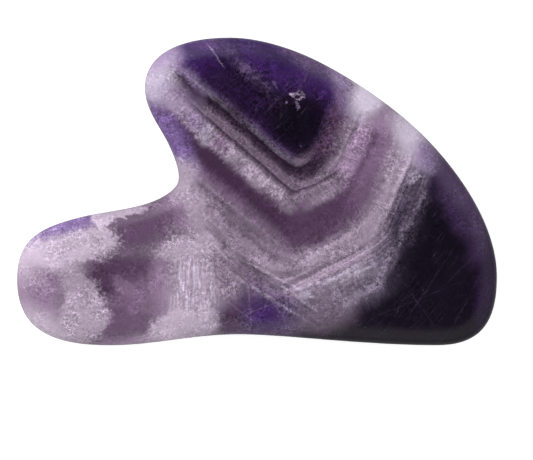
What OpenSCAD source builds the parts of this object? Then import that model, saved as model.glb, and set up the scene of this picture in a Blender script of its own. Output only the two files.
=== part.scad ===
// Gua sha scraper: one solid slab of banded amethyst, ground flat on both faces and
// polished to a rounded rim. It lies on its back face, with the thumb lobe towards -X,
// the head towards +Y and the long scraping blade curving from the head down to the heel.

/* [Size] */
// Overall length of the stone, from thumb tip to heel, in mm
stone_length = 96; // [70:1:120]
// Thickness between the two ground faces, in mm
stone_thickness = 9; // [6:0.5:12]

/* [Rim] */
// How far the rounding reaches in from the edge along the scraping blade, in mm
blade_reach = 7.5; // [4:0.5:8]
// How far the rounding reaches in from the edge round the thumb, head and heel, in mm
grip_reach = 6; // [3:0.5:7]
// How far the rounding reaches in from the edge round the notch, in mm
notch_reach = 4.5; // [2:0.5:6]
// Fullness of the rounding, where 2 is an ellipse and more is squarer
rim_fullness = 2.2; // [1.8:0.1:3]

/* [Quality] */
// Longest step along the outline, in mm
outline_step = 1.5; // [1.25:0.25:4]
// Rings of facets between the edge and each face
rim_rings = 8; // [4:1:9]

/* [Hidden] */

// The anchors are drawn for a stone this long, and scale with stone_length.
DRAWN_LENGTH = 96;
growth = stone_length / DRAWN_LENGTH;

// Outline anchors, anticlockwise as seen from above the front face:
// [x, y, heading in degrees, pull before the anchor, pull after it, reach of the rounding]
ANCHORS = [
    [-48.0, -17.5, 270,  8.0,  9.5, grip_reach],   // tip of the thumb
    [-29.5, -30.8,   0, 12.5,  9.0, grip_reach],   // underside of the thumb
    [ -4.0, -28.6,   0,  9.0,  9.0, grip_reach],   // shallow hollow in the base
    [ 36.0, -30.8,   0, 14.0,  8.5, grip_reach],   // flat of the heel
    [ 48.0, -17.0,  90,  9.5, 10.0, grip_reach],   // back of the heel
    [ 33.6,  10.9, 135, 10.0,  8.0, blade_reach],  // middle of the blade
    [ 12.6,  25.9, 153,  8.0,  6.0, blade_reach],  // shoulder of the blade
    [ -5.5,  30.8, 180,  6.0, 10.5, grip_reach],   // top of the head
    [-22.5,  20.7, 270,  6.5,  4.0, grip_reach],   // tip of the head
    [-18.2,  10.4, 298,  3.0,  2.5, notch_reach],  // flank under the head
    [-15.6,   2.5, 270,  2.5,  1.7, notch_reach],  // bottom of the notch
    [-20.4,  -1.8, 202,  2.3,  5.0, notch_reach],  // web between notch and thumb
    [-35.4,  -5.1, 194,  5.0,  8.5, grip_reach],   // top of the thumb
];

function heading(a) = [cos(a), sin(a)];
function unit(v) = v / norm(v);
function ease(t) = (1 - cos(180 * t)) / 2;
function bezier(p, q, r, s, t) =
    pow(1 - t, 3) * p + 3 * t * pow(1 - t, 2) * q + 3 * t * t * (1 - t) * r + pow(t, 3) * s;
function bezier_run(p, q, r, s, t) =
    pow(1 - t, 2) * (q - p) + 2 * t * (1 - t) * (r - q) + t * t * (s - r);

// One station on the outline, a share t of the way from anchor a to anchor b:
// [x, y, inward x, inward y, reach of the rounding]
function station(a, b, t) =
    let (
        p = [a[0], a[1]] * growth,
        s = [b[0], b[1]] * growth,
        q = p + a[4] * growth * heading(a[2]),
        r = s - b[3] * growth * heading(b[2]),
        place = bezier(p, q, r, s, t),
        run = unit(bezier_run(p, q, r, s, t)),
        reach = (a[5] + (b[5] - a[5]) * ease(t)) * growth
    )
    [place[0], place[1], -run[1], run[0], reach];

function steps(a, b) = ceil(norm([b[0] - a[0], b[1] - a[1]]) * growth / outline_step) + 1;

outline = [
    for (i = [0 : len(ANCHORS) - 1])
        let (a = ANCHORS[i], b = ANCHORS[(i + 1) % len(ANCHORS)], n = steps(a, b))
            for (k = [0 : n - 1]) station(a, b, k / n)
];
count = len(outline);

// The rounding is a quarter superellipse. share is 0 at the edge and 1 where it meets a face.
function rim_inset(share) = 1 - pow(cos(90 * share), 2 / rim_fullness);
function rim_rise(share) = pow(sin(90 * share), 2 / rim_fullness);

// The stone's section at one level, from -rim_rings at the back face to rim_rings at the front.
function ring(level) =
    let (
        share = abs(level) / rim_rings,
        inset = rim_inset(share),
        z = stone_thickness / 2 * (1 + sign(level) * rim_rise(share))
    )
    [for (s = outline) [s[0] + s[2] * s[4] * inset, s[1] + s[3] * s[4] * inset, z]];

// The core between the two flat faces, out to the line where the rounding starts.
module ground_core() {
    linear_extrude(stone_thickness) polygon([for (p = ring(rim_rings)) [p[0], p[1]]]);
}

// The rounding as a closed band: the polished skin, and an upright inner wall on the core.
module polished_rim() {
    levels = 2 * rim_rings + 1;
    skin = [for (level = [-rim_rings : rim_rings]) each ring(level)];
    facets = [
        for (j = [0 : levels - 1], i = [0 : count - 1])
            let (
                here = j * count,
                above = (j + 1) % levels * count,
                k = (i + 1) % count
            )
                each [[here + i, above + k, here + k], [here + i, above + i, above + k]]
    ];
    polyhedron(points = skin, faces = facets);
}

module stone() {
    color("rebeccapurple") union() {
        ground_core();
        polished_rim();
    }
}

stone();
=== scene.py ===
import math

import bpy
import numpy as np
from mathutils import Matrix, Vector, noise


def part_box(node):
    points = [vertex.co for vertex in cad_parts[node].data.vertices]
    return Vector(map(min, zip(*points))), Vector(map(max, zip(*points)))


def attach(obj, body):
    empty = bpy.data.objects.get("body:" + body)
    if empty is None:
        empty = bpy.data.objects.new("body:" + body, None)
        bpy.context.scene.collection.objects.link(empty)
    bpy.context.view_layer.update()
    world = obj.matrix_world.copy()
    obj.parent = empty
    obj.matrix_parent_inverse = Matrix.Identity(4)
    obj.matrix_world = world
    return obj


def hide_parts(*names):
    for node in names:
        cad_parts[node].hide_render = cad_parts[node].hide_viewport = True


MM = 0.001  # one millimetre in Blender's metres

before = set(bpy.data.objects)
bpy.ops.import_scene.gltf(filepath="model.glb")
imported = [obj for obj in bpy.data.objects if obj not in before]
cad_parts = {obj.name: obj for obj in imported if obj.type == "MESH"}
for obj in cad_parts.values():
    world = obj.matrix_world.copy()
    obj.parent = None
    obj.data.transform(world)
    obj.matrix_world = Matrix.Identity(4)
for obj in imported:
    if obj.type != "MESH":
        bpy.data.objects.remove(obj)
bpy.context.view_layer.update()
stone_low, stone_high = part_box("stone")
stone_size = stone_high - stone_low
mid_height = (stone_low.z + stone_high.z) / 2


# ---------------------------------------------------------------- the stone's mesh

GRID = 0.4 * MM  # spacing of the fine mesh
RELAXING_PASSES = 12  # smoothing passes that take the facets out of the rim
POLISH_WAVE = 14 * MM  # length of the faint waves that hand polishing leaves
POLISH_DEPTH = 0.03 * MM  # their height


def with_modifiers_applied(piece):
    """Gives the piece the mesh that its modifiers make, and removes them."""
    graph = bpy.context.evaluated_depsgraph_get()
    mesh = bpy.data.meshes.new_from_object(piece.evaluated_get(graph), depsgraph=graph)
    piece.modifiers.clear()
    piece.data = mesh


def polished_slab():
    """The stone as a fine, even skin over the CAD solid, relaxed until no facet shows."""
    slab = bpy.data.objects.new("amethyst_slab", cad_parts["stone"].data.copy())
    bpy.context.scene.collection.objects.link(slab)
    even = slab.modifiers.new("even_grid", "REMESH")
    even.mode = "VOXEL"
    even.voxel_size = GRID
    relaxed = slab.modifiers.new("relaxed", "SMOOTH")
    relaxed.factor = 0.5
    relaxed.iterations = RELAXING_PASSES
    with_modifiers_applied(slab)
    polish_by_hand(slab.data)
    slab.data.shade_smooth()
    return slab


def polish_by_hand(mesh):
    """Moves each point in or out by a hair, in long waves, as hand polishing does."""
    count = len(mesh.vertices)
    places = np.empty(3 * count)
    outward = np.empty(3 * count)
    mesh.vertices.foreach_get("co", places)
    mesh.vertex_normals.foreach_get("vector", outward)
    places = places.reshape(count, 3)
    outward = outward.reshape(count, 3)
    waves = [noise.noise(Vector(place) / POLISH_WAVE) for place in places]
    places += outward * (np.array(waves) * POLISH_DEPTH)[:, None]
    mesh.vertices.foreach_set("co", places.ravel())
    mesh.update()


# ---------------------------------------------------------------- fields, the material's arithmetic


class Field:
    """A number or a vector that varies through the stone, made by nodes and used like a number."""

    tree = None  # the node tree that new fields are added to

    def __init__(self, socket):
        self.socket = socket

    def __add__(self, other):
        return maths("ADD", self, other)

    def __sub__(self, other):
        return maths("SUBTRACT", self, other)

    def __mul__(self, other):
        return maths("MULTIPLY", self, other)

    __radd__ = __add__
    __rmul__ = __mul__

    def __rsub__(self, other):
        return maths("SUBTRACT", other, self)


def node(kind, inputs, settings=None):
    """A new node in the tree, with its settings and with fields or plain values in its inputs."""
    made = Field.tree.nodes.new(kind)
    for name, value in (settings or {}).items():
        setattr(made, name, value)
    for key, value in inputs.items():
        if isinstance(value, Field):
            Field.tree.links.new(value.socket, made.inputs[key])
        else:
            made.inputs[key].default_value = value
    return made


def maths(operation, a, b=0, c=0):
    """One arithmetic step between fields or numbers."""
    settings = {"operation": operation}
    return Field(node("ShaderNodeMath", {0: a, 1: b, 2: c}, settings).outputs[0])


def smooth_step(value, start, end, low=0, high=1):
    """Goes smoothly from low to high as the value goes from start to end, and stays level outside."""
    settings = {"interpolation_type": "SMOOTHSTEP"}
    inputs = {"Value": value, "From Min": start, "From Max": end, "To Min": low, "To Max": high}
    return Field(node("ShaderNodeMapRange", inputs, settings).outputs[0])


def ramp(value, stops, lowest, highest, smooth=False):
    """Looks the value up in a list of (value, colour), in straight or eased steps."""
    made = node("ShaderNodeValToRGB", {0: (value - lowest) * (1 / (highest - lowest))})
    made.color_ramp.interpolation = "EASE" if smooth else "LINEAR"
    elements = made.color_ramp.elements
    for _ in stops[2:]:
        elements.new(0.5)
    for element, (place, colour) in zip(elements, stops):
        element.position = (place - lowest) / (highest - lowest)
        element.color = colour
    return Field(made.outputs[0])


def first_channel(colour):
    """The red of a colour field as a number, for ramps that carry numbers as greys."""
    return Field(node("ShaderNodeSeparateColor", {0: colour}).outputs[0])


def mix(a, b, share):
    """Colour b laid over colour a, by its share."""
    made = node("ShaderNodeMix", {"Factor": share}, {"data_type": "RGBA"})
    # a Mix node's colour sockets come after the ones for numbers and vectors
    for socket, value in ((made.inputs[6], a), (made.inputs[7], b)):
        if isinstance(value, Field):
            Field.tree.links.new(value.socket, socket)
        else:
            socket.default_value = value
    return Field(made.outputs[2])


def scaled(vector, factor):
    """A vector or colour field multiplied by a number or a field."""
    inputs = {0: vector, "Scale": factor}
    return Field(node("ShaderNodeVectorMath", inputs, {"operation": "SCALE"}).outputs[0])


def multiplied(vector, factors):
    """A vector or colour field with each of its channels multiplied by its own factor."""
    inputs = {0: vector, 1: factors}
    return Field(node("ShaderNodeVectorMath", inputs, {"operation": "MULTIPLY"}).outputs[0])


def moved(vector, offset):
    """A vector field with another field or a fixed vector added."""
    inputs = {0: vector, 1: offset}
    return Field(node("ShaderNodeVectorMath", inputs, {"operation": "ADD"}).outputs[0])


def along(vector, direction):
    """How far the vector field reaches along a direction."""
    inputs = {0: vector, 1: direction}
    return Field(node("ShaderNodeVectorMath", inputs, {"operation": "DOT_PRODUCT"}).outputs["Value"])


def grain(place, size, detail=4, roughness=0.55, length=1, turn=0):
    """Noise from 0 to 1 with features of a size in mm, drawn out to some length along a turned axis."""
    if length != 1:
        inputs = {"Vector": place, "Rotation": (0, 0, math.radians(turn)), "Scale": (length, 1, 1)}
        drawn_out = node("ShaderNodeMapping", inputs, {"vector_type": "TEXTURE"})
        place = Field(drawn_out.outputs[0])
    inputs = {"Vector": place, "Scale": 1 / size, "Detail": detail, "Roughness": roughness}
    return Field(node("ShaderNodeTexNoise", inputs).outputs[0])


def uneven(place, size, **character):
    """Grain's noise with its middle at 0, so that it goes from -0.5 to 0.5."""
    return grain(place, size, **character) - 0.5


def drift(place, size, reach, detail=2):
    """The place, moved about by up to reach mm by noise with features of a size in mm."""
    inputs = {"Vector": place, "Scale": 1 / size, "Detail": detail}
    swirl = node("ShaderNodeTexNoise", inputs).outputs[1]
    channels = node("ShaderNodeSeparateColor", {0: Field(swirl)}).outputs
    pushes = {axis: (Field(channels[axis]) - 0.5) * (2 * reach) for axis in range(3)}
    return moved(place, Field(node("ShaderNodeCombineXYZ", pushes).outputs[0]))


def tint(red, green, blue):
    """A colour given as the eye reads it, 0 to 255, in the linear numbers that light needs."""
    shares = [channel / 255 for channel in (red, green, blue)]
    linear = [s / 12.92 if s <= 0.04045 else ((s + 0.055) / 1.055) ** 2.4 for s in shares]
    return (*linear, 1)


def grey(share):
    """A plain grey that carries a number through a ramp."""
    return (share, share, share, 1)


# ---------------------------------------------------------------- amethyst

SEED = (8.6, 16.3)  # where the banded crystal began, in mm in the frame
FACE_TURN = {"left": 41, "lower": 27, "steep": 67}  # slope of each growing face, in degrees
APEX_ROUNDING = 1.6  # how many stages the corner between left and right is blended over
SIDE_ROUNDING = 1.2  # how many the corner between the lower and the steep face is
LEAN = (0.35, -0.2)  # how far the layers shift per mm of depth below the front face

# How far each face had grown by each stage, in mm from the seed.
GROWTH = {
    "left": (0, 7, 9.1, 10.7, 12.2, 13.6, 15.2, 17.7, 20, 21.6, 23.6, 28.4, 31, 34, 37, 42),
    "lower": (0, 7, 9.2, 11.4, 13.6, 14.7, 15.8, 18.2, 20.4, 22.6, 25, 29, 31.2, 34.4, 39, 43),
    "steep": (0, 4.4, 5.6, 8, 11, 12, 13.2, 15.2, 16.4, 18.2, 20.6, 24, 26.2, 27.8, 29.8, 35),
}
STAGES = len(GROWTH["left"]) - 1
REACH = max(distances[-1] for distances in GROWTH.values())

# The stone's own colours: how much less green and how much more blue than red each kind has, in
# steps out of 255.
KINDS = {
    "smoky": (8, 7),
    "mauve": (14, 2),
    "plum": (22, 3),
    "lilac": (18, 15),
    "violet": (25, 30),
}


def shade(kind, lightness):
    """One of the stone's own colours, from black at 0 to white at 1."""
    red = 255 * lightness
    green_drop, blue_rise = KINDS[kind]
    return tint(red, max(red - green_drop, 0), red + blue_rise)


# What each face laid down, as (stage, colour), from the smoky heart outwards.
LAYERS = {
    "left": [
        (0.0, shade("smoky", 0.06)),
        (0.7, shade("smoky", 0.1)),
        (1.1, shade("lilac", 0.14)),
        (1.4, shade("lilac", 0.2)),
        (1.75, shade("lilac", 0.32)),
        (2.0, shade("smoky", 0.36)),
        (2.4, shade("smoky", 0.36)),
        (2.6, shade("mauve", 0.14)),
        (3.0, shade("mauve", 0.18)),
        (3.25, shade("mauve", 0.24)),
        (3.5, shade("mauve", 0.32)),
        (3.8, shade("mauve", 0.44)),
        (4.65, shade("mauve", 0.44)),
        (4.82, shade("mauve", 0.28)),
        (5.0, shade("mauve", 0.32)),
        (5.4, shade("mauve", 0.48)),
        (5.6, shade("mauve", 0.6)),
        (6.0, shade("mauve", 0.64)),
        (6.65, shade("mauve", 0.6)),
        (6.85, shade("mauve", 0.56)),
        (7.05, shade("plum", 0.32)),
        (7.3, shade("plum", 0.28)),
        (8.0, shade("plum", 0.28)),
        (8.5, shade("plum", 0.32)),
        (9.0, shade("plum", 0.4)),
        (9.5, shade("plum", 0.48)),
        (10.0, shade("mauve", 0.52)),
        (10.4, shade("mauve", 0.44)),
        (10.7, shade("mauve", 0.56)),
        (11.0, shade("mauve", 0.6)),
        (12.0, shade("mauve", 0.56)),
        (14.0, shade("mauve", 0.48)),
    ],
    "lower": [
        (0.0, shade("smoky", 0.06)),
        (1.4, shade("smoky", 0.1)),
        (1.75, shade("mauve", 0.32)),
        (2.05, shade("mauve", 0.4)),
        (2.35, shade("mauve", 0.4)),
        (2.55, shade("mauve", 0.14)),
        (3.1, shade("mauve", 0.2)),
        (3.6, shade("mauve", 0.32)),
        (4.0, shade("mauve", 0.48)),
        (4.65, shade("mauve", 0.48)),
        (4.8, shade("mauve", 0.32)),
        (5.1, shade("mauve", 0.44)),
        (5.6, shade("mauve", 0.56)),
        (7.0, shade("plum", 0.36)),
        (8.4, shade("plum", 0.32)),
        (9.0, shade("plum", 0.36)),
        (9.7, shade("mauve", 0.48)),
        (10.2, shade("mauve", 0.56)),
        (10.45, shade("mauve", 0.64)),
        (11.15, shade("mauve", 0.64)),
        (11.45, shade("mauve", 0.48)),
        (11.7, shade("mauve", 0.6)),
        (12.1, shade("mauve", 0.6)),
        (12.35, shade("mauve", 0.52)),
        (12.6, shade("smoky", 0.52)),
        (13.0, shade("smoky", 0.52)),
        (13.5, shade("smoky", 0.4)),
        (13.7, shade("smoky", 0.48)),
        (14.05, shade("smoky", 0.36)),
        (14.25, shade("smoky", 0.28)),
        (14.5, shade("smoky", 0.2)),
        (14.8, shade("smoky", 0.1)),
    ],
    "steep": [
        (0.0, shade("smoky", 0.08)),
        (0.9, shade("lilac", 0.14)),
        (1.4, shade("lilac", 0.24)),
        (2.4, shade("plum", 0.32)),
        (3.0, shade("plum", 0.36)),
        (3.6, shade("mauve", 0.48)),
        (3.9, shade("mauve", 0.6)),
        (4.2, shade("mauve", 0.44)),
        (4.5, shade("plum", 0.6)),
        (5.4, shade("plum", 0.64)),
        (6.7, shade("plum", 0.56)),
        (7.0, shade("plum", 0.44)),
        (7.4, shade("plum", 0.4)),
        (8.0, shade("plum", 0.48)),
        (9.0, shade("plum", 0.52)),
        (10.0, shade("mauve", 0.6)),
        (10.25, shade("mauve", 0.64)),
        (10.4, shade("mauve", 0.68)),
        (10.55, shade("mauve", 0.6)),
        (10.75, shade("mauve", 0.68)),
        (10.95, shade("mauve", 0.64)),
        (11.1, shade("mauve", 0.48)),
        (11.5, shade("smoky", 0.48)),
        (11.65, shade("smoky", 0.36)),
        (12.0, shade("smoky", 0.36)),
        (12.5, shade("smoky", 0.32)),
        (12.8, shade("smoky", 0.4)),
        (13.0, shade("smoky", 0.48)),
        (13.2, shade("smoky", 0.4)),
        (13.6, shade("smoky", 0.24)),
        (14.0, shade("smoky", 0.12)),
        (14.6, shade("smoky", 0.08)),
    ],
}

# Shades that lighten or darken the layers without hiding them: what it is, where its middle is in
# mm, half its length and width in mm, the turn of its length in degrees, how soft its edge is, how
# far it hides the layers' own colour, how gritty it is, and its colour.
SHADES = [
    ("light patch in the broad band 1", -9.9, 10.8, 2.0, 1.3, -42, 0.8, 0.8, 0.2, shade("smoky", 0.76)),
    ("light patch in the broad band 2", -5.2, 7.1, 3.2, 1.1, -42, 0.8, 0.6, 0.2, shade("mauve", 0.68)),
    ("gap under the second patch", -3.6, 4.9, 1.8, 1.2, -42, 0.8, 0.8, 0.15, shade("mauve", 0.44)),
    ("light patch in the broad band 3", -0.8, 2.6, 3.0, 1.1, -42, 0.8, 0.5, 0.2, shade("mauve", 0.68)),
    ("gap under the first patch", -7.6, 9.3, 2.4, 1.4, -42, 0.8, 0.9, 0.15, shade("plum", 0.44)),
    ("lilac before the first patch", -12.4, 13.3, 2.6, 1.4, -42, 0.8, 0.8, 0.15, shade("lilac", 0.48)),
    ("violet beside the plum", -13.4, 6.9, 2.4, 1.4, -50, 0.8, 0.8, 0.15, shade("lilac", 0.36)),
    ("pale fan of the web 1", -10.4, -2.7, 3.0, 2.2, -42, 0.8, 0.8, 0.15, shade("mauve", 0.6)),
    ("pale fan of the web 2", -4.8, -6.3, 3.0, 1.5, -42, 0.8, 0.8, 0.15, shade("mauve", 0.52)),
    ("light patch at the apex", 13.4, -1.4, 3.4, 1.1, 27, 0.8, 0.8, 0.2, shade("mauve", 0.6)),
    ("notch at the apex", 6.6, -1.7, 2.2, 1.3, 60, 0.8, 0.6, 0.2, shade("mauve", 0.36)),
    ("dark arc right of the heart", 12.4, 5.7, 4.4, 1.0, 38, 0.8, 0.7, 0.25, shade("mauve", 0.2)),
    ("dim stretch of the first band", -4.2, 15.0, 4.0, 1.4, -42, 0.8, 0.75, 0.4, shade("mauve", 0.2)),
    ("violet gap before the bands", -12.6, 19.0, 2.6, 1.1, -42, 0.8, 0.7, 0.15, shade("lilac", 0.28)),
    ("plum bite under the band", 2.4, -1.6, 3.0, 0.9, -42, 0.8, 0.7, 0.12, shade("plum", 0.32)),
    ("plum right of the apex", 12.4, -8.4, 6.0, 1.9, 24, 0.7, 0.9, 0.1, shade("plum", 0.32)),
    ("pale ridge in the stripes", 17.4, -16.8, 3.6, 1.2, 24, 0.7, 0.8, 0.2, shade("smoky", 0.72)),
    ("inner edge of the stripes", 17.8, -10.7, 5.6, 1.3, 26, 0.8, 0.7, 0.2, shade("mauve", 0.6)),
    ("outer edge of the stripes", 12.6, -21.5, 4.6, 2.0, 10, 0.8, 0.8, 0.2, shade("mauve", 0.56)),
    ("shade in the stripes", 7.4, -15.9, 3.6, 1.4, 4, 0.7, 0.7, 0.15, shade("mauve", 0.44)),
    ("grey lens in the stripes", 14.6, -18.2, 5.6, 1.9, 14, 0.6, 0.6, 0.15, shade("mauve", 0.52)),
    ("pale foot of the stripes", 15.4, -22.6, 4.4, 1.6, 22, 0.7, 0.8, 0.25, shade("smoky", 0.56)),
    ("grey mauve under the plum", -1.0, -7.3, 7.0, 2.8, -42, 0.7, 0.6, 0.1, shade("mauve", 0.44)),
    ("plum of the right limb", 20.4, -1.0, 6.5, 1.9, 62, 0.7, 0.7, 0.12, shade("plum", 0.4)),
    ("foot of the wedge", 24.6, -12.2, 2.6, 1.3, 62, 0.7, 0.8, 0.3, shade("smoky", 0.36)),
    ("pale start of the bands", -13.4, 23.1, 4.6, 1.2, -42, 0.7, 0.75, 0.15, shade("lilac", 0.56)),
    ("lilac corner of the bands", -14.8, 25.3, 2.6, 1.6, -30, 0.8, 0.6, 0.12, shade("lilac", 0.6)),
    ("dark edge of the smoky wedge", 32.4, -2.6, 1.4, 2.4, -30, 0.8, 0.9, 0.4, shade("smoky", 0.18)),
    ("smoky wedge", 29.8, -4.6, 7.6, 2.6, 68, 0.4, 0.8, 0.45, shade("smoky", 0.24)),
    ("top of the smoky wedge", 30.0, 0.6, 2.8, 2.0, 60, 0.7, 0.8, 0.4, shade("smoky", 0.32)),
    ("grey wedge by the crack", -1.6, -16.0, 4.6, 1.8, -36, 0.6, 0.8, 0.25, shade("mauve", 0.36)),
]

# Clouds that hide the layers, in the same form. Some along the rim are painted: painted rim shade at the
# head's top, the blade's back and the heel, and painted rim highlight along the lower rim under the seam
# and the thumb.
CLOUDS = [
    # the head
    # painted rim shade: the head's violet, darkened along its top edge where the rounded rim turns away
    # from the light
    ("violet head top with painted rim shade", -12.8, 28.5, 8.0, 3.0, 15, 0.6, 0.9, 0.1, shade("violet", 0.36)),
    ("violet over the heart", 4.0, 26.3, 11.0, 5.2, -24, 0.5, 0.95, 0.3, shade("violet", 0.24)),
    ("ink spot over the heart", 5.0, 26.1, 3.2, 2.0, -20, 0.8, 1, 0.25, shade("violet", 0.18)),
    ("dark left of the heart", -2.6, 20.6, 7.0, 3.2, -42, 0.6, 0.9, 0.5, shade("lilac", 0.14)),
    ("ink spot in the head", -10.8, 25.4, 3.6, 2.6, -20, 0.7, 0.95, 0.15, shade("violet", 0.2)),
    ("ink spot below it", -6.8, 21.9, 3.0, 2.0, -30, 0.7, 0.9, 0.2, shade("lilac", 0.16)),
    ("violet right of the heart", 14.2, 21.5, 3.0, 3.4, 0, 0.6, 1, 0.2, shade("violet", 0.24)),
    ("grey edge over the heart", 11.0, 25.9, 7.0, 1.6, -31, 0.8, 1, 0.2, shade("lilac", 0.36)),
    ("black heart", 8.2, 12.9, 5.4, 4.6, 0, 0.5, 0.9, 0.35, shade("smoky", 0.06)),
    ("lilac at the blade", 17.4, 18.6, 1.7, 3.8, 20, 0.7, 0.9, 0.1, shade("lilac", 0.48)),
    ("pale tip of the head", -21.4, 21.7, 4.2, 5.6, -25, 0.6, 0.9, 0.05, shade("smoky", 0.84)),
    ("pale shoulder of the head", -18.4, 26.4, 4.0, 2.4, 38, 0.7, 0.9, 0.08, shade("lilac", 0.68)),
    ("lilac start of the bands", -16.6, 18.3, 5.4, 2.4, -42, 0.7, 0.5, 0.12, shade("lilac", 0.68)),
    ("violet flank", -17.2, 10.6, 7.2, 2.8, -57, 0.6, 0.9, 0.3, shade("violet", 0.48)),
    ("dark corner of the wedge", 32.6, -1.9, 1.5, 1.3, 0, 0.7, 0.8, 0.2, shade("smoky", 0.24)),
    ("dark foot of the last band", 26.6, -17.2, 1.2, 2.0, 0, 0.7, 0.8, 0.2, shade("smoky", 0.18)),
    # the blade
    ("white on the blade", 22.7, 18.0, 3.7, 4.0, -30, 0.6, 1, 0.06, shade("smoky", 0.84)),
    ("mauve on the blade", 25.4, 13.4, 3.0, 2.2, -38, 0.6, 1, 0.08, shade("plum", 0.6)),
    ("pale blade", 32.4, 10.2, 6.0, 3.8, -42, 0.6, 1, 0.05, shade("smoky", 0.8)),
    ("lilac under the pale blade", 34.2, 6.6, 3.2, 2.6, -45, 0.6, 1, 0.1, shade("lilac", 0.6)),
    # partly painted rim shade: the violet is the stone's, and its darkness along the curved right rim is
    # painted shade
    ("violet back of the blade with painted rim shade", 41.0, -1.5, 11.0, 4.0, -62, 0.6, 1, 0.2, shade("lilac", 0.28)),
    ("dark spot in the back", 40.6, -5.7, 2.4, 2.0, 0, 0.8, 0.8, 0.2, shade("lilac", 0.2)),
    ("violet spot in the back", 43.8, -12.7, 2.6, 2.0, 60, 0.8, 0.7, 0.2, shade("lilac", 0.24)),
    # painted rim shade: dark violet laid along the heel's rounded rim
    ("painted shade on the heel's rim", 46.0, -19.5, 8.0, 2.4, 80, 0.7, 1, 0.2, shade("lilac", 0.16)),
    ("lilac edge above the blade", 17.4, 22.2, 2.6, 1.3, -32, 0.7, 0.4, 0.1, shade("lilac", 0.72)),
    # the base
    ("violet base", 1.0, -24.2, 9.0, 5.6, -6, 0.5, 0.9, 0.35, shade("lilac", 0.32)),
    ("brown shade in the base", -5.0, -25.2, 2.0, 3.0, 0, 0.8, 0.9, 0.3, shade("plum", 0.32)),
    ("ink shade in the base", 1.4, -24.4, 3.4, 2.4, -20, 0.8, 0.9, 0.35, shade("violet", 0.24)),
    ("pale shade by the seam", -6.6, -18.9, 2.8, 3.4, 0, 0.7, 0.9, 0.25, shade("mauve", 0.56)),
    ("lilac beside the heel", 13.8, -24.4, 5.2, 3.4, 12, 0.7, 0.9, 0.15, shade("mauve", 0.44)),
    # the web between head and thumb
    ("pale web", -14.8, 2.6, 3.8, 2.8, 60, 0.6, 0.85, 0.1, shade("mauve", 0.72)),
    ("pink web", -14.6, -4.4, 4.2, 3.0, 20, 0.7, 0.8, 0.1, shade("plum", 0.64)),
    ("pink shade of the web", -18.6, -4.9, 3.0, 2.0, 20, 0.8, 0.8, 0.1, shade("plum", 0.52)),
    # the thumb
    ("plum of the thumb", -24.4, -6.8, 8.6, 4.2, 12, 0.5, 1, 0.1, shade("plum", 0.4)),
    ("deep plum of the thumb", -28.0, -15.9, 9.2, 3.2, 4, 0.45, 1, 0.14, shade("plum", 0.36)),
    ("lower plum", -24.8, -21.4, 5.6, 3.8, 14, 0.8, 1, 0.1, shade("plum", 0.48)),
    ("darkest plum", -30.2, -18.6, 2.8, 2.8, -20, 0.8, 1, 0.14, shade("plum", 0.28)),
    ("plum under it", -27.6, -17.0, 3.6, 1.4, 10, 0.8, 0.7, 0.14, shade("plum", 0.36)),
    ("plum at the edge", -27.0, -26.4, 6.4, 4.0, 0, 0.5, 1, 0.1, shade("plum", 0.44)),
    # painted rim highlight: lightens the lower rim under the seam against the shade its curve takes
    ("painted highlight on the rim under the seam", -16.0, -29.6, 6.0, 1.6, 4, 0.8, 0.8, 0.1, shade("mauve", 0.84)),
    # painted rim highlight: a pale mauve edge along the thumb's lower rim
    ("mauve painted highlight on the thumb's lower rim", -25.0, -31.4, 9.0, 1.6, 2, 0.8, 0.7, 0.1, shade("plum", 0.68)),
    ("pink shoulder of the seam", -18.6, -19.6, 2.1, 8.0, 0, 0.6, 0.9, 0.12, shade("plum", 0.6)),
    ("pale tip of the thumb", -44.0, -13.6, 8.6, 5.0, -10, 0.5, 1, 0.08, shade("mauve", 0.84)),
    ("grey tip of the thumb", -45.4, -20.4, 4.6, 3.6, 0, 0.6, 0.5, 0.08, shade("plum", 0.76)),
    ("mauve in the tip", -39.8, -17.4, 4.8, 2.0, -20, 0.9, 0.9, 0.16, shade("plum", 0.52)),
    ("lilac in the tip", -42.4, -22.4, 4.8, 2.8, -50, 0.8, 1, 0.12, shade("plum", 0.6)),
    ("pale foot of the thumb", -42.0, -27.6, 7.2, 3.2, -30, 0.7, 1, 0.08, shade("mauve", 0.8)),
    ("lilac top of the thumb", -38.8, -7.2, 8.8, 2.2, 14, 0.8, 0.9, 0.3, shade("violet", 0.56)),
]

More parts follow.
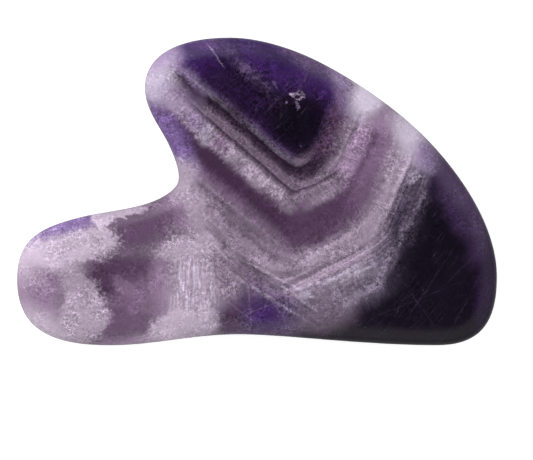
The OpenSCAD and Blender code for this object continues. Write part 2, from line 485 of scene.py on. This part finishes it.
# Patches of frosty quartz grain, in the same form. Their edges are torn by the grain.
FROST = [
    ("frost across the thumb", -35.4, -10.8, 7.6, 3.0, 4, 0.8, 0.85, 0.14, shade("mauve", 0.8)),
    ("frost over the thumb", -31.6, -9.6, 4.4, 2.5, 8, 0.8, 0.9, 0.12, shade("mauve", 0.8)),
    ("white spot at the edge", -29.6, -5.6, 2.6, 1.3, 12, 0.7, 0.95, 0.1, shade("mauve", 0.84)),
    ("white edge of the thumb", -25.8, -4.2, 5.4, 1.0, 12, 0.7, 0.9, 0.1, shade("mauve", 0.76)),
    ("fluffy frost", -34.2, -24.0, 4.9, 6.0, 0, 0.6, 0.95, 0.22, shade("mauve", 0.72)),
    ("fluffy frost's top", -35.2, -18.4, 4.0, 2.4, -25, 0.8, 0.8, 0.25, shade("mauve", 0.68)),
    ("wisps in the plum 1", -26.4, -18.6, 3.2, 1.2, -30, 0.9, 0.5, 0.2, shade("plum", 0.56)),
    ("wisps in the plum 2", -23.6, -22.2, 1.4, 3.0, -20, 0.9, 0.4, 0.2, shade("plum", 0.56)),
    ("frost at the web", -13.2, -11.2, 6.6, 2.8, 4, 0.7, 0.9, 0.25, shade("mauve", 0.72)),
    ("frost up the web", -12.0, -3.8, 1.8, 5.4, 12, 0.9, 0.8, 0.16, shade("mauve", 0.68)),
    ("pale foot of the seam", -10.2, -26.2, 2.4, 3.2, 0, 0.8, 0.5, 0.12, shade("mauve", 0.8)),
    ("pale knot in the stripes", 9.6, -20.6, 1.5, 1.0, 0, 0.8, 0.8, 0.25, shade("smoky", 0.68)),
    ("frost at the base", -16.2, -26.6, 4.8, 3.4, 8, 0.6, 0.9, 0.12, shade("mauve", 0.8)),
    ("flakes along the wedge", 30.6, -5.6, 7.0, 0.6, 65, 0.9, 0.45, 0.7, shade("smoky", 0.48)),
    ("flakes over the wedge", 31.2, 2.9, 1.9, 1.2, 60, 0.8, 0.8, 0.3, shade("smoky", 0.56)),
    ("crystal in the heart 1", 7.2, 19.4, 1.0, 0.35, 10, 0.8, 0.9, 0.6, shade("mauve", 0.6)),
    ("crystal in the heart 2", 9.1, 18.7, 0.8, 0.3, -30, 0.8, 0.8, 0.6, shade("mauve", 0.56)),
    ("crystal in the heart 3", 8.2, 17.7, 0.3, 0.7, -15, 0.8, 0.7, 0.6, shade("lilac", 0.48)),
    ("crystal in the heart 4", 5.6, 17.9, 0.6, 0.3, 35, 0.8, 0.6, 0.6, shade("lilac", 0.44)),
    ("crystal in the heart 5", 3.2, 20.6, 0.8, 0.4, -40, 0.8, 0.6, 0.6, shade("lilac", 0.4)),
    ("flakes at the corner", 23.8, -17.0, 4.6, 0.6, 67, 0.8, 0.6, 0.7, shade("smoky", 0.52)),
]

# How gritty each stage is: the share by which its grains are lighter or darker than its colour.
GRIT = [
    (0, 0.5), (1.6, 0.42), (2, 0.35), (3, 0.3), (4, 0.2), (5, 0.24), (6, 0.2), (6.9, 0.16),
    (7.3, 0.09), (9, 0.1), (10, 0.16), (11, 0.15), (12, 0.16), (13, 0.24), (14, 0.2), (15, 0.14),
]
# How far the crystals' columns show at each stage, across the layers.
COLUMNS = [
    (0, 0.1), (1.5, 0.2), (3, 0.12), (4, 0.2), (5, 0.24), (5.6, 0.4), (6.8, 0.46), (7.4, 0.1),
    (9, 0.1), (10, 0.16), (12, 0.14), (13, 0.2), (15, 0.06),
]
# How far thin layers inside a stage show.
LAYERING = [
    (0, 0), (1, 0.15), (5, 0.14), (7, 0.03), (9, 0.05), (9.8, 0.2), (11, 0.36), (13.8, 0.36), (14.2, 0),
]
# How ragged the layers' edges are at each stage, in stages.
FEATHERING = [
    (0, 0.3), (1.6, 0.3), (2.6, 0.15), (3.2, 0.12), (5, 0.15), (6, 0.5), (6.8, 1.2), (7.4, 1.2),
    (9, 0.6), (10, 0.5), (12, 0.25), (13, 0.3), (14, 0.6), (15, 0.6),
]
TEAR = 1.4  # how strongly the grain tears the edge of a frosty patch
TORN_EDGE = (0.25, 0.75)  # the torn share at which a frosty patch starts, and is whole

# The pale upright seam beside the thumb, in mm.
SEAM_MIDDLE = (-12.6, -21.5)
SEAM_HALF_WIDTH = 4.6
SEAM_HALF_HEIGHT = 11
SEAM_SOFTNESS = 0.5
SEAM_GRIT = 0.1
# Its colours, from the darkest fibre to the lightest, by the fibres' noise.
SEAM_COLOURS = [
    (0.36, shade("mauve", 0.64)),
    (0.52, shade("mauve", 0.72)),
    (0.64, shade("smoky", 0.84)),
]

# Threads across the stone: what it is, its two ends and half its width in mm, how strong, its tint.
THREADS = [
    ("growth line 1", -5.4, -12.3, 8.0, -19.2, 0.3, 0.9, shade("mauve", 0.72)),
    ("growth line 2", 0.0, -19.3, 10.0, -25.7, 0.22, 0.8, shade("smoky", 0.6)),
    ("growth line 3", 4.0, -18.0, 11.2, -23.2, 0.3, 0.8, shade("smoky", 0.68)),
    ("dark growth line 1", -11.4, 1.7, -4.4, -4.3, 0.4, 0.8, shade("mauve", 0.36)),
    ("dark growth line 2", -2.8, -14.0, 5.6, -18.6, 0.4, 0.9, shade("mauve", 0.36)),
    ("right arm", 7.6, -19.4, 20.2, -15.7, 0.3, 0.7, shade("smoky", 0.72)),
    ("crack", -8.4, -7.3, -5.4, -12.7, 0.7, 0.8, shade("mauve", 0.32)),
    ("crackle 1", -7.4, -20.7, -1.2, -25.3, 0.2, 0.5, shade("lilac", 0.56)),
    ("crackle 2", -1.0, -25.6, -1.8, -17.9, 0.2, 0.4, shade("lilac", 0.56)),
    ("crackle 3", -4.6, -16.4, 4.4, -22.6, 0.2, 0.5, shade("smoky", 0.6)),
    ("crackle 4", 2.0, -20.2, 6.4, -26.8, 0.16, 0.35, shade("lilac", 0.56)),
    ("crackle 5", -6.6, -26.4, 2.6, -22.4, 0.16, 0.35, shade("lilac", 0.56)),
    ("veil", -8.0, 30.0, 2.2, 19.7, 1.2, 0.5, shade("lilac", 0.44)),
    ("thin veil", -9.4, 28.8, -7.0, 25.1, 0.2, 0.7, shade("lilac", 0.68)),
    ("stripe in the right limb 1", 28.0, -0.5, 22.0, -13.5, 0.3, 0.5, shade("mauve", 0.4)),
    ("stripe in the right limb 2", 26.4, -0.5, 21.0, -12.3, 0.3, 0.5, shade("smoky", 0.72)),
    ("heel hairline 1", 40.6, -8.5, 26.6, -29.7, 0.12, 0.11, shade("lilac", 0.44)),
    ("heel hairline 2", 45.8, -9.7, 36.6, -19.0, 0.12, 0.11, shade("lilac", 0.44)),
    ("heel hairline 3", 24.0, -24.5, 39.0, -18.4, 0.12, 0.11, shade("lilac", 0.44)),
    ("heel hairline 4", 37.0, -30.0, 43.4, -17.8, 0.12, 0.11, shade("lilac", 0.44)),
    ("heel hairline 5", 28.8, -18.0, 35.0, -26.6, 0.12, 0.11, shade("lilac", 0.44)),
    ("brown line", 10.2, 23.5, 7.6, 18.3, 0.3, 0.7, shade("plum", 0.32)),
    ("crystal needle 1", 7.0, 19.2, 9.2, 19.0, 0.18, 0.6, shade("mauve", 0.68)),
    ("crystal needle 2", 7.4, 18.6, 8.4, 19.8, 0.18, 0.5, shade("mauve", 0.64)),
    ("crystal needle 3", 8.8, 19.8, 9.4, 18.5, 0.16, 0.5, shade("smoky", 0.6)),
]

THREAD_SOFTNESS = 0.8
THREAD_FAINTEST = 0.25  # how much of a thread shows where it is weakest

# How strongly each kind of unevenness lightens or darkens the stone, as powers of e.
DUST = 13
FLAKES = (-0.2, 2.6)  # between the flakes, and on them
VEINLETS = (-0.3, 1.8)  # between the veinlets, and on them
LUMPS = 4
BROAD_CHANGES = 0.4
THIN_LAYERS = 6
LAYER_EDGES = 1.6
LAYER_BRIGHTNESS = 0.3  # makes up for what the edges darken
BRIGHTEST = 0.66  # no grain is lighter than this
SPARK_SHARE = 0.5  # how white a spark is
SCRATCH_SHARE = 0.05  # how white a scratch is

ROUGHNESS = (0.14, 0.26)  # of the best polished places, and of the worst
SCRATCH_ROUGHNESS = 0.1  # added in a scratch
QUARTZ_IOR = 1.54
SHEEN = 0.18  # strength of the polish's reflection, where 0.5 is the whole of it
RICHNESS = (1.04, 0.99, 1.05)  # makes up for the white light that the polish adds to the violet
RELIEF = 0.02 * MM  # how high the polish left the harder grains, in metres
LUMP_RELIEF = 0.5  # the lumps' share of it
DUST_RELIEF = 0.12  # the finest grain's
SCRATCH_RELIEF = 0.2  # and how deep the scratches go
FLAT = 1000  # a depth in mm so large that a cloud has the same outline at every height

# ---- how they are laid


def share_by(stage, shares):
    """A number looked up by growth stage."""
    return first_channel(ramp(stage, [(at, grey(share)) for at, share in shares], 0, STAGES))


def face_direction(face):
    """The way a face grew: down and to the left, or down and to the right."""
    turn = math.radians(FACE_TURN[face])
    side = -1 if face == "left" else 1
    return (side * math.sin(turn), -math.cos(turn), 0)


def stage_on(face, place):
    """The growth stage that one face alone would have laid down at each place."""
    stops = [(distance, grey(number / STAGES)) for number, distance in enumerate(GROWTH[face])]
    return first_channel(ramp(along(place, face_direction(face)), stops, 0, REACH)) * STAGES


def columns_on(face, place):
    """The crystals' columns, which stand across the layers of one face: noise around 0."""
    across, down, _ = face_direction(face)
    turn = math.degrees(math.atan2(down, across))
    fine = uneven(place, size=0.42, detail=3, roughness=0.7, length=5, turn=turn)
    coarse = uneven(place, size=1.1, detail=2, length=3, turn=turn)
    return fine * 5 + coarse * 3


def banded_crystal(place):
    """The chevrons: the three faces met in corners, so each stage is the furthest of the three."""
    from_seed = moved(place, (-SEED[0], -SEED[1], 0))
    faces = ("left", "lower", "steep")
    left, lower, steep = (stage_on(face, from_seed) for face in faces)
    right = maths("SMOOTH_MAX", lower, steep, SIDE_ROUNDING)
    even = maths("SMOOTH_MAX", left, right, APEX_ROUNDING)
    to_steep = smooth_step(steep - lower, -1, 1)
    to_right = smooth_step(right - left, -1, 1)
    stands = [columns_on(face, place) for face in faces]
    columns = stands[1] + to_steep * (stands[2] - stands[1])
    columns = stands[0] + to_right * (columns - stands[0])
    stage = even + columns * share_by(even, FEATHERING) * 0.25
    colours = [ramp(stage, LAYERS[face], 0, STAGES) for face in faces]
    colour = mix(colours[0], mix(colours[1], colours[2], to_steep), to_right)
    return stage, colour, columns


def cover(place, middle_x, middle_y, length, width, turn, softness):
    """How much of a cloud lies over each place: 1 in its middle, falling off across its edge."""
    outer = 1 + softness
    inputs = {
        "Vector": place,
        "Location": (middle_x, middle_y, 0),
        "Rotation": (0, 0, math.radians(turn)),
        "Scale": (length * outer, width * outer, FLAT),
    }
    local = node("ShaderNodeMapping", inputs, {"vector_type": "TEXTURE"})
    settings = {"gradient_type": "SPHERICAL"}
    inward = node("ShaderNodeTexGradient", {"Vector": Field(local.outputs[0])}, settings)
    return smooth_step(Field(inward.outputs["Fac"]), 0, 2 * softness / outer)


def clouded(stone, place, clouds, tear=None):
    """The stone with each cloud laid over the ones before it, torn by a noise if one is given."""
    colour, grit, bedding = stone
    for _name, x, y, length, width, turn, softness, hiding, cloud_grit, cloud_tint in clouds:
        share = cover(place, x, y, length, width, turn, softness)
        if tear:
            share = smooth_step(share + tear * TEAR, *TORN_EDGE)
        share = share * hiding
        colour = mix(colour, cloud_tint, share)
        grit = grit + share * (cloud_grit - grit)
        bedding = (1 - share) * bedding
    return colour, grit, bedding


def threaded(colour, place, threads):
    """The colour with thin threads drawn from end to end over it, stronger here and weaker there."""
    broken = smooth_step(grain(place, size=1.8), 0.4, 0.62, THREAD_FAINTEST, 1)
    for _name, start_x, start_y, end_x, end_y, width, strength, thread_tint in threads:
        across = end_x - start_x
        up = end_y - start_y
        turn = math.degrees(math.atan2(up, across))
        middle = ((start_x + end_x) / 2, (start_y + end_y) / 2)
        half_length = math.hypot(across, up) / 2
        share = cover(place, *middle, half_length, width, turn, THREAD_SOFTNESS)
        colour = mix(colour, thread_tint, share * broken * strength)
    return colour


def fibrous_seam(stone, place):
    """The pale upright seam beside the thumb, made of fibres that run across the stone."""
    colour, grit, bedding = stone
    wavy = drift(place, size=4, reach=0.5)
    fibres = grain(wavy, size=0.5, detail=3, roughness=0.65, length=14, turn=90)
    share = cover(place, *SEAM_MIDDLE, SEAM_HALF_WIDTH, SEAM_HALF_HEIGHT, 0, SEAM_SOFTNESS)
    colour = mix(colour, ramp(fibres, SEAM_COLOURS, 0, 1), share)
    return colour, grit + share * (SEAM_GRIT - grit), bedding * (1 - share)


def specks(place, size, radius, rarity):
    """Bright specks, one in some of the cells of a size in mm."""
    cells = node("ShaderNodeTexVoronoi", {"Vector": place, "Scale": 1 / size})
    lot = node("ShaderNodeSeparateColor", {0: Field(cells.outputs["Color"])})
    picked = smooth_step(Field(lot.outputs[0]), rarity, rarity + 0.05)
    return picked * smooth_step(Field(cells.outputs["Distance"]), radius / size, 0)


def scratches(place, turn, thickness):
    """Long thin lines that all run nearly one way."""
    waves = uneven(place, size=2.2, detail=2, roughness=0.4, length=14, turn=turn)
    here = smooth_step(grain(place, size=4, detail=2), 0.46, 0.6)
    return smooth_step(maths("ABSOLUTE", waves), thickness, 0) * here


def places_in_stone():
    """Two places in mm: in the leaning layers, and counted down from the front face."""
    metres = Field(node("ShaderNodeTexCoord", {}).outputs["Object"])
    place = scaled(metres, 1 / MM)
    thickness = stone_size.z / MM
    height = Field(node("ShaderNodeSeparateXYZ", {0: place}).outputs[2])
    depth = thickness - height
    shift = {0: depth * LEAN[0], 1: depth * LEAN[1]}
    place = moved(place, Field(node("ShaderNodeCombineXYZ", shift).outputs[0]))
    sunk = moved(multiplied(place, (1, 1, -1)), (0, 0, thickness))
    return place, sunk


def amethyst():
    """Banded amethyst, whose layers run right through the stone and come out on its rim."""
    material = bpy.data.materials.new("banded_amethyst")
    material.use_nodes = True
    Field.tree = material.node_tree
    place, sunk = places_in_stone()
    calm = drift(sunk, size=5, reach=0.5)
    loose = drift(drift(sunk, size=9, reach=1.2), size=2.5, reach=0.9, detail=6)
    torn = drift(drift(calm, size=6, reach=1.8), size=2, reach=1.2, detail=6)
    wavering = drift(sunk, size=2, reach=0.35, detail=3)
    tear = uneven(sunk, size=0.8, detail=5, roughness=0.8)

    # each stone is its colour, its grit and how far its layers still show
    stage, colour, columns = banded_crystal(calm)
    colour, grit, _ = clouded((colour, share_by(stage, GRIT), 1), loose, SHADES)
    stone = clouded((colour, grit, 1), loose, CLOUDS)
    stone = fibrous_seam(stone, calm)
    colour, grit, bedding = clouded(stone, torn, FROST, tear)
    colour = threaded(colour, wavering, THREADS)
    layers = layered(place, stage) * share_by(stage, LAYERING)
    bands = (columns * share_by(stage, COLUMNS) + layers) * bedding
    return finished(material, place, colour, grit, bands)


def layered(place, stage):
    """Thin layers inside the stages: noise around 0 that changes quickly from stage to stage."""
    slow = scaled(place, 0.06)
    quick = Field(node("ShaderNodeCombineXYZ", {0: stage * 4}).outputs[0])
    tones = uneven(moved(quick, slow), size=1, detail=3, roughness=0.6)
    edges = smooth_step(maths("ABSOLUTE", tones), 0.02, 0)
    return tones * THIN_LAYERS - edges * LAYER_EDGES + LAYER_BRIGHTNESS


def finished(material, place, colour, grit, bands):
    """Grain, sparkles and scratches over the stone's colour, and its polish."""
    dust = uneven(place, size=0.55, detail=3, roughness=0.85) * DUST
    flakes = smooth_step(grain(place, size=0.36, detail=2, roughness=0.6), 0.56, 0.74, *FLAKES)
    veinlets = maths("ABSOLUTE", uneven(place, size=1.5, detail=4, roughness=0.6))
    veinlets = smooth_step(veinlets, 0.035, 0, *VEINLETS)
    lumps = uneven(place, size=2.6, detail=3, roughness=0.6) * LUMPS
    patchy = smooth_step(grain(place, size=4, detail=3), 0.35, 0.65, 0.35, 1.5)
    broad = uneven(place, size=9, detail=3) * BROAD_CHANGES
    gain = (dust + flakes + veinlets + lumps) * grit * patchy + broad + bands
    colour = scaled(colour, maths("POWER", math.e, maths("MINIMUM", gain, BRIGHTEST)))
    colour = multiplied(colour, RICHNESS)

    spark = specks(place, size=1.1, radius=0.2, rarity=0.8) * smooth_step(grit, 0.25, 0.42)
    colour = mix(colour, shade("lilac", 0.6), spark * SPARK_SHARE)
    lines = scratches(place, 52, 0.008) + scratches(place, 34, 0.005)
    colour = mix(colour, shade("smoky", 0.68), lines * SCRATCH_SHARE)
    worn = smooth_step(lumps, -0.6, 0.8, *ROUGHNESS) + lines * SCRATCH_ROUGHNESS
    relief = lumps * LUMP_RELIEF + dust * DUST_RELIEF - lines * SCRATCH_RELIEF
    bump = node("ShaderNodeBump", {"Height": relief, "Distance": RELIEF, "Strength": 1})

    shader = material.node_tree.nodes["Principled BSDF"]
    Field.tree.links.new(colour.socket, shader.inputs["Base Color"])
    Field.tree.links.new(worn.socket, shader.inputs["Roughness"])
    Field.tree.links.new(bump.outputs[0], shader.inputs["Normal"])
    shader.inputs["IOR"].default_value = QUARTZ_IOR
    shader.inputs["Specular IOR Level"].default_value = SHEEN
    return material


# ---------------------------------------------------------------- floor, light and camera

LENS = 100  # the camera's focal length, in mm
SENSOR = 36  # the width of its sensor, in mm
FRAME_FILL = 0.9006  # share of the picture's width that the stone takes
FLOOR_SPREAD = 12  # half the floor's side, in lengths of the stone
FLOOR_GAP = 0.05 * MM  # how far the floor keeps below the stone, in metres
FLOOR_GREY = 0.5  # what the floor gives back of the light
FLOOR_GLOW = 0.8  # light added where the camera sees the floor, so that it looks white
VIEW_SHIFT = (0.0198, -0.125)  # the picture's centre, in shares of the stone's length and height

KEY_AZIMUTH = -140  # where the soft box stands, in degrees as seen from above
KEY_ELEVATION = 40
KEY_DISTANCE = 0.6  # in metres
KEY_SIZE = 0.45  # in metres
KEY_POWER = 1.1  # in watts
TENT_STRENGTH = 1.2
# The tent's brightness by height, from straight below at -1 to straight above at 1.
TENT_BY_HEIGHT = [
    (-1, grey(0.9)),
    (0, grey(0.8)),
    (0.3, grey(0.9)),
    (0.65, grey(1.0)),
    (0.9, grey(0.08)),
]
TENT_SIDE = (-0.2, 0.12, 0)  # how much brighter the tent is towards the left and the head


def studio_floor():
    """A plain floor under the stone, which the camera sees as white."""
    half = FLOOR_SPREAD * stone_size.x
    corners = [(x * half, y * half, -FLOOR_GAP) for x, y in ((-1, -1), (1, -1), (1, 1), (-1, 1))]
    mesh = bpy.data.meshes.new("floor")
    mesh.from_pydata(corners, [], [(0, 1, 2, 3)])
    floor = bpy.data.objects.new("floor", mesh)
    bpy.context.scene.collection.objects.link(floor)
    paper = bpy.data.materials.new("white_paper")
    paper.use_nodes = True
    Field.tree = paper.node_tree
    shader = paper.node_tree.nodes["Principled BSDF"]
    shader.inputs["Base Color"].default_value = grey(FLOOR_GREY)
    shader.inputs["Roughness"].default_value = 0.9
    shader.inputs["Specular IOR Level"].default_value = 0
    seen = Field(node("ShaderNodeLightPath", {}).outputs["Is Camera Ray"])
    shader.inputs["Emission Color"].default_value = grey(1)
    Field.tree.links.new((seen * FLOOR_GLOW).socket, shader.inputs["Emission Strength"])
    mesh.materials.append(paper)


def softbox(name, azimuth, elevation, distance, size, power):
    """A square soft light, aimed at the stone's middle."""
    lamp = bpy.data.lights.new(name, "AREA")
    lamp.shape = "SQUARE"
    lamp.size = size
    lamp.energy = power
    box = bpy.data.objects.new(name, lamp)
    a = math.radians(azimuth)
    e = math.radians(elevation)
    away = Vector((math.sin(a) * math.cos(e), -math.cos(a) * math.cos(e), math.sin(e)))
    box.location = away * distance
    box.rotation_mode = "QUATERNION"
    box.rotation_quaternion = away.to_track_quat("Z", "Y")
    bpy.context.scene.collection.objects.link(box)


def studio_light():
    """A pale tent of light, dimmer overhead and to the lower right, and a soft box at the upper left."""
    softbox("key_light", KEY_AZIMUTH, KEY_ELEVATION, KEY_DISTANCE, KEY_SIZE, KEY_POWER)
    world = bpy.data.worlds.new("studio")
    world.use_nodes = True
    Field.tree = world.node_tree
    direction = Field(node("ShaderNodeTexCoord", {}).outputs["Generated"])
    height = along(direction, (0, 0, 1))
    tent = ramp(height, TENT_BY_HEIGHT, -1, 1, smooth=True)
    sided = 1 + along(direction, TENT_SIDE)
    background = world.node_tree.nodes["Background"]
    Field.tree.links.new(tent.socket, background.inputs["Color"])
    Field.tree.links.new((sided * TENT_STRENGTH).socket, background.inputs["Strength"])
    bpy.context.scene.world = world
    bpy.context.scene.view_settings.view_transform = "Standard"


def studio_camera():
    """A long lens looking straight down on the front face."""
    lens = bpy.data.cameras.new("camera")
    lens.lens = LENS
    lens.sensor_width = SENSOR
    camera = bpy.data.objects.new("camera", lens)
    width = stone_size.x / FRAME_FILL
    camera.location.x = VIEW_SHIFT[0] * stone_size.x
    camera.location.y = VIEW_SHIFT[1] * stone_size.y
    camera.location.z = mid_height + width * LENS / SENSOR
    bpy.context.scene.collection.objects.link(camera)
    bpy.context.scene.camera = camera


stone = polished_slab()
stone.data.materials.clear()
stone.data.materials.append(amethyst())
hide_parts("stone")
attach(stone, "root")

studio_floor()
studio_light()
studio_camera()
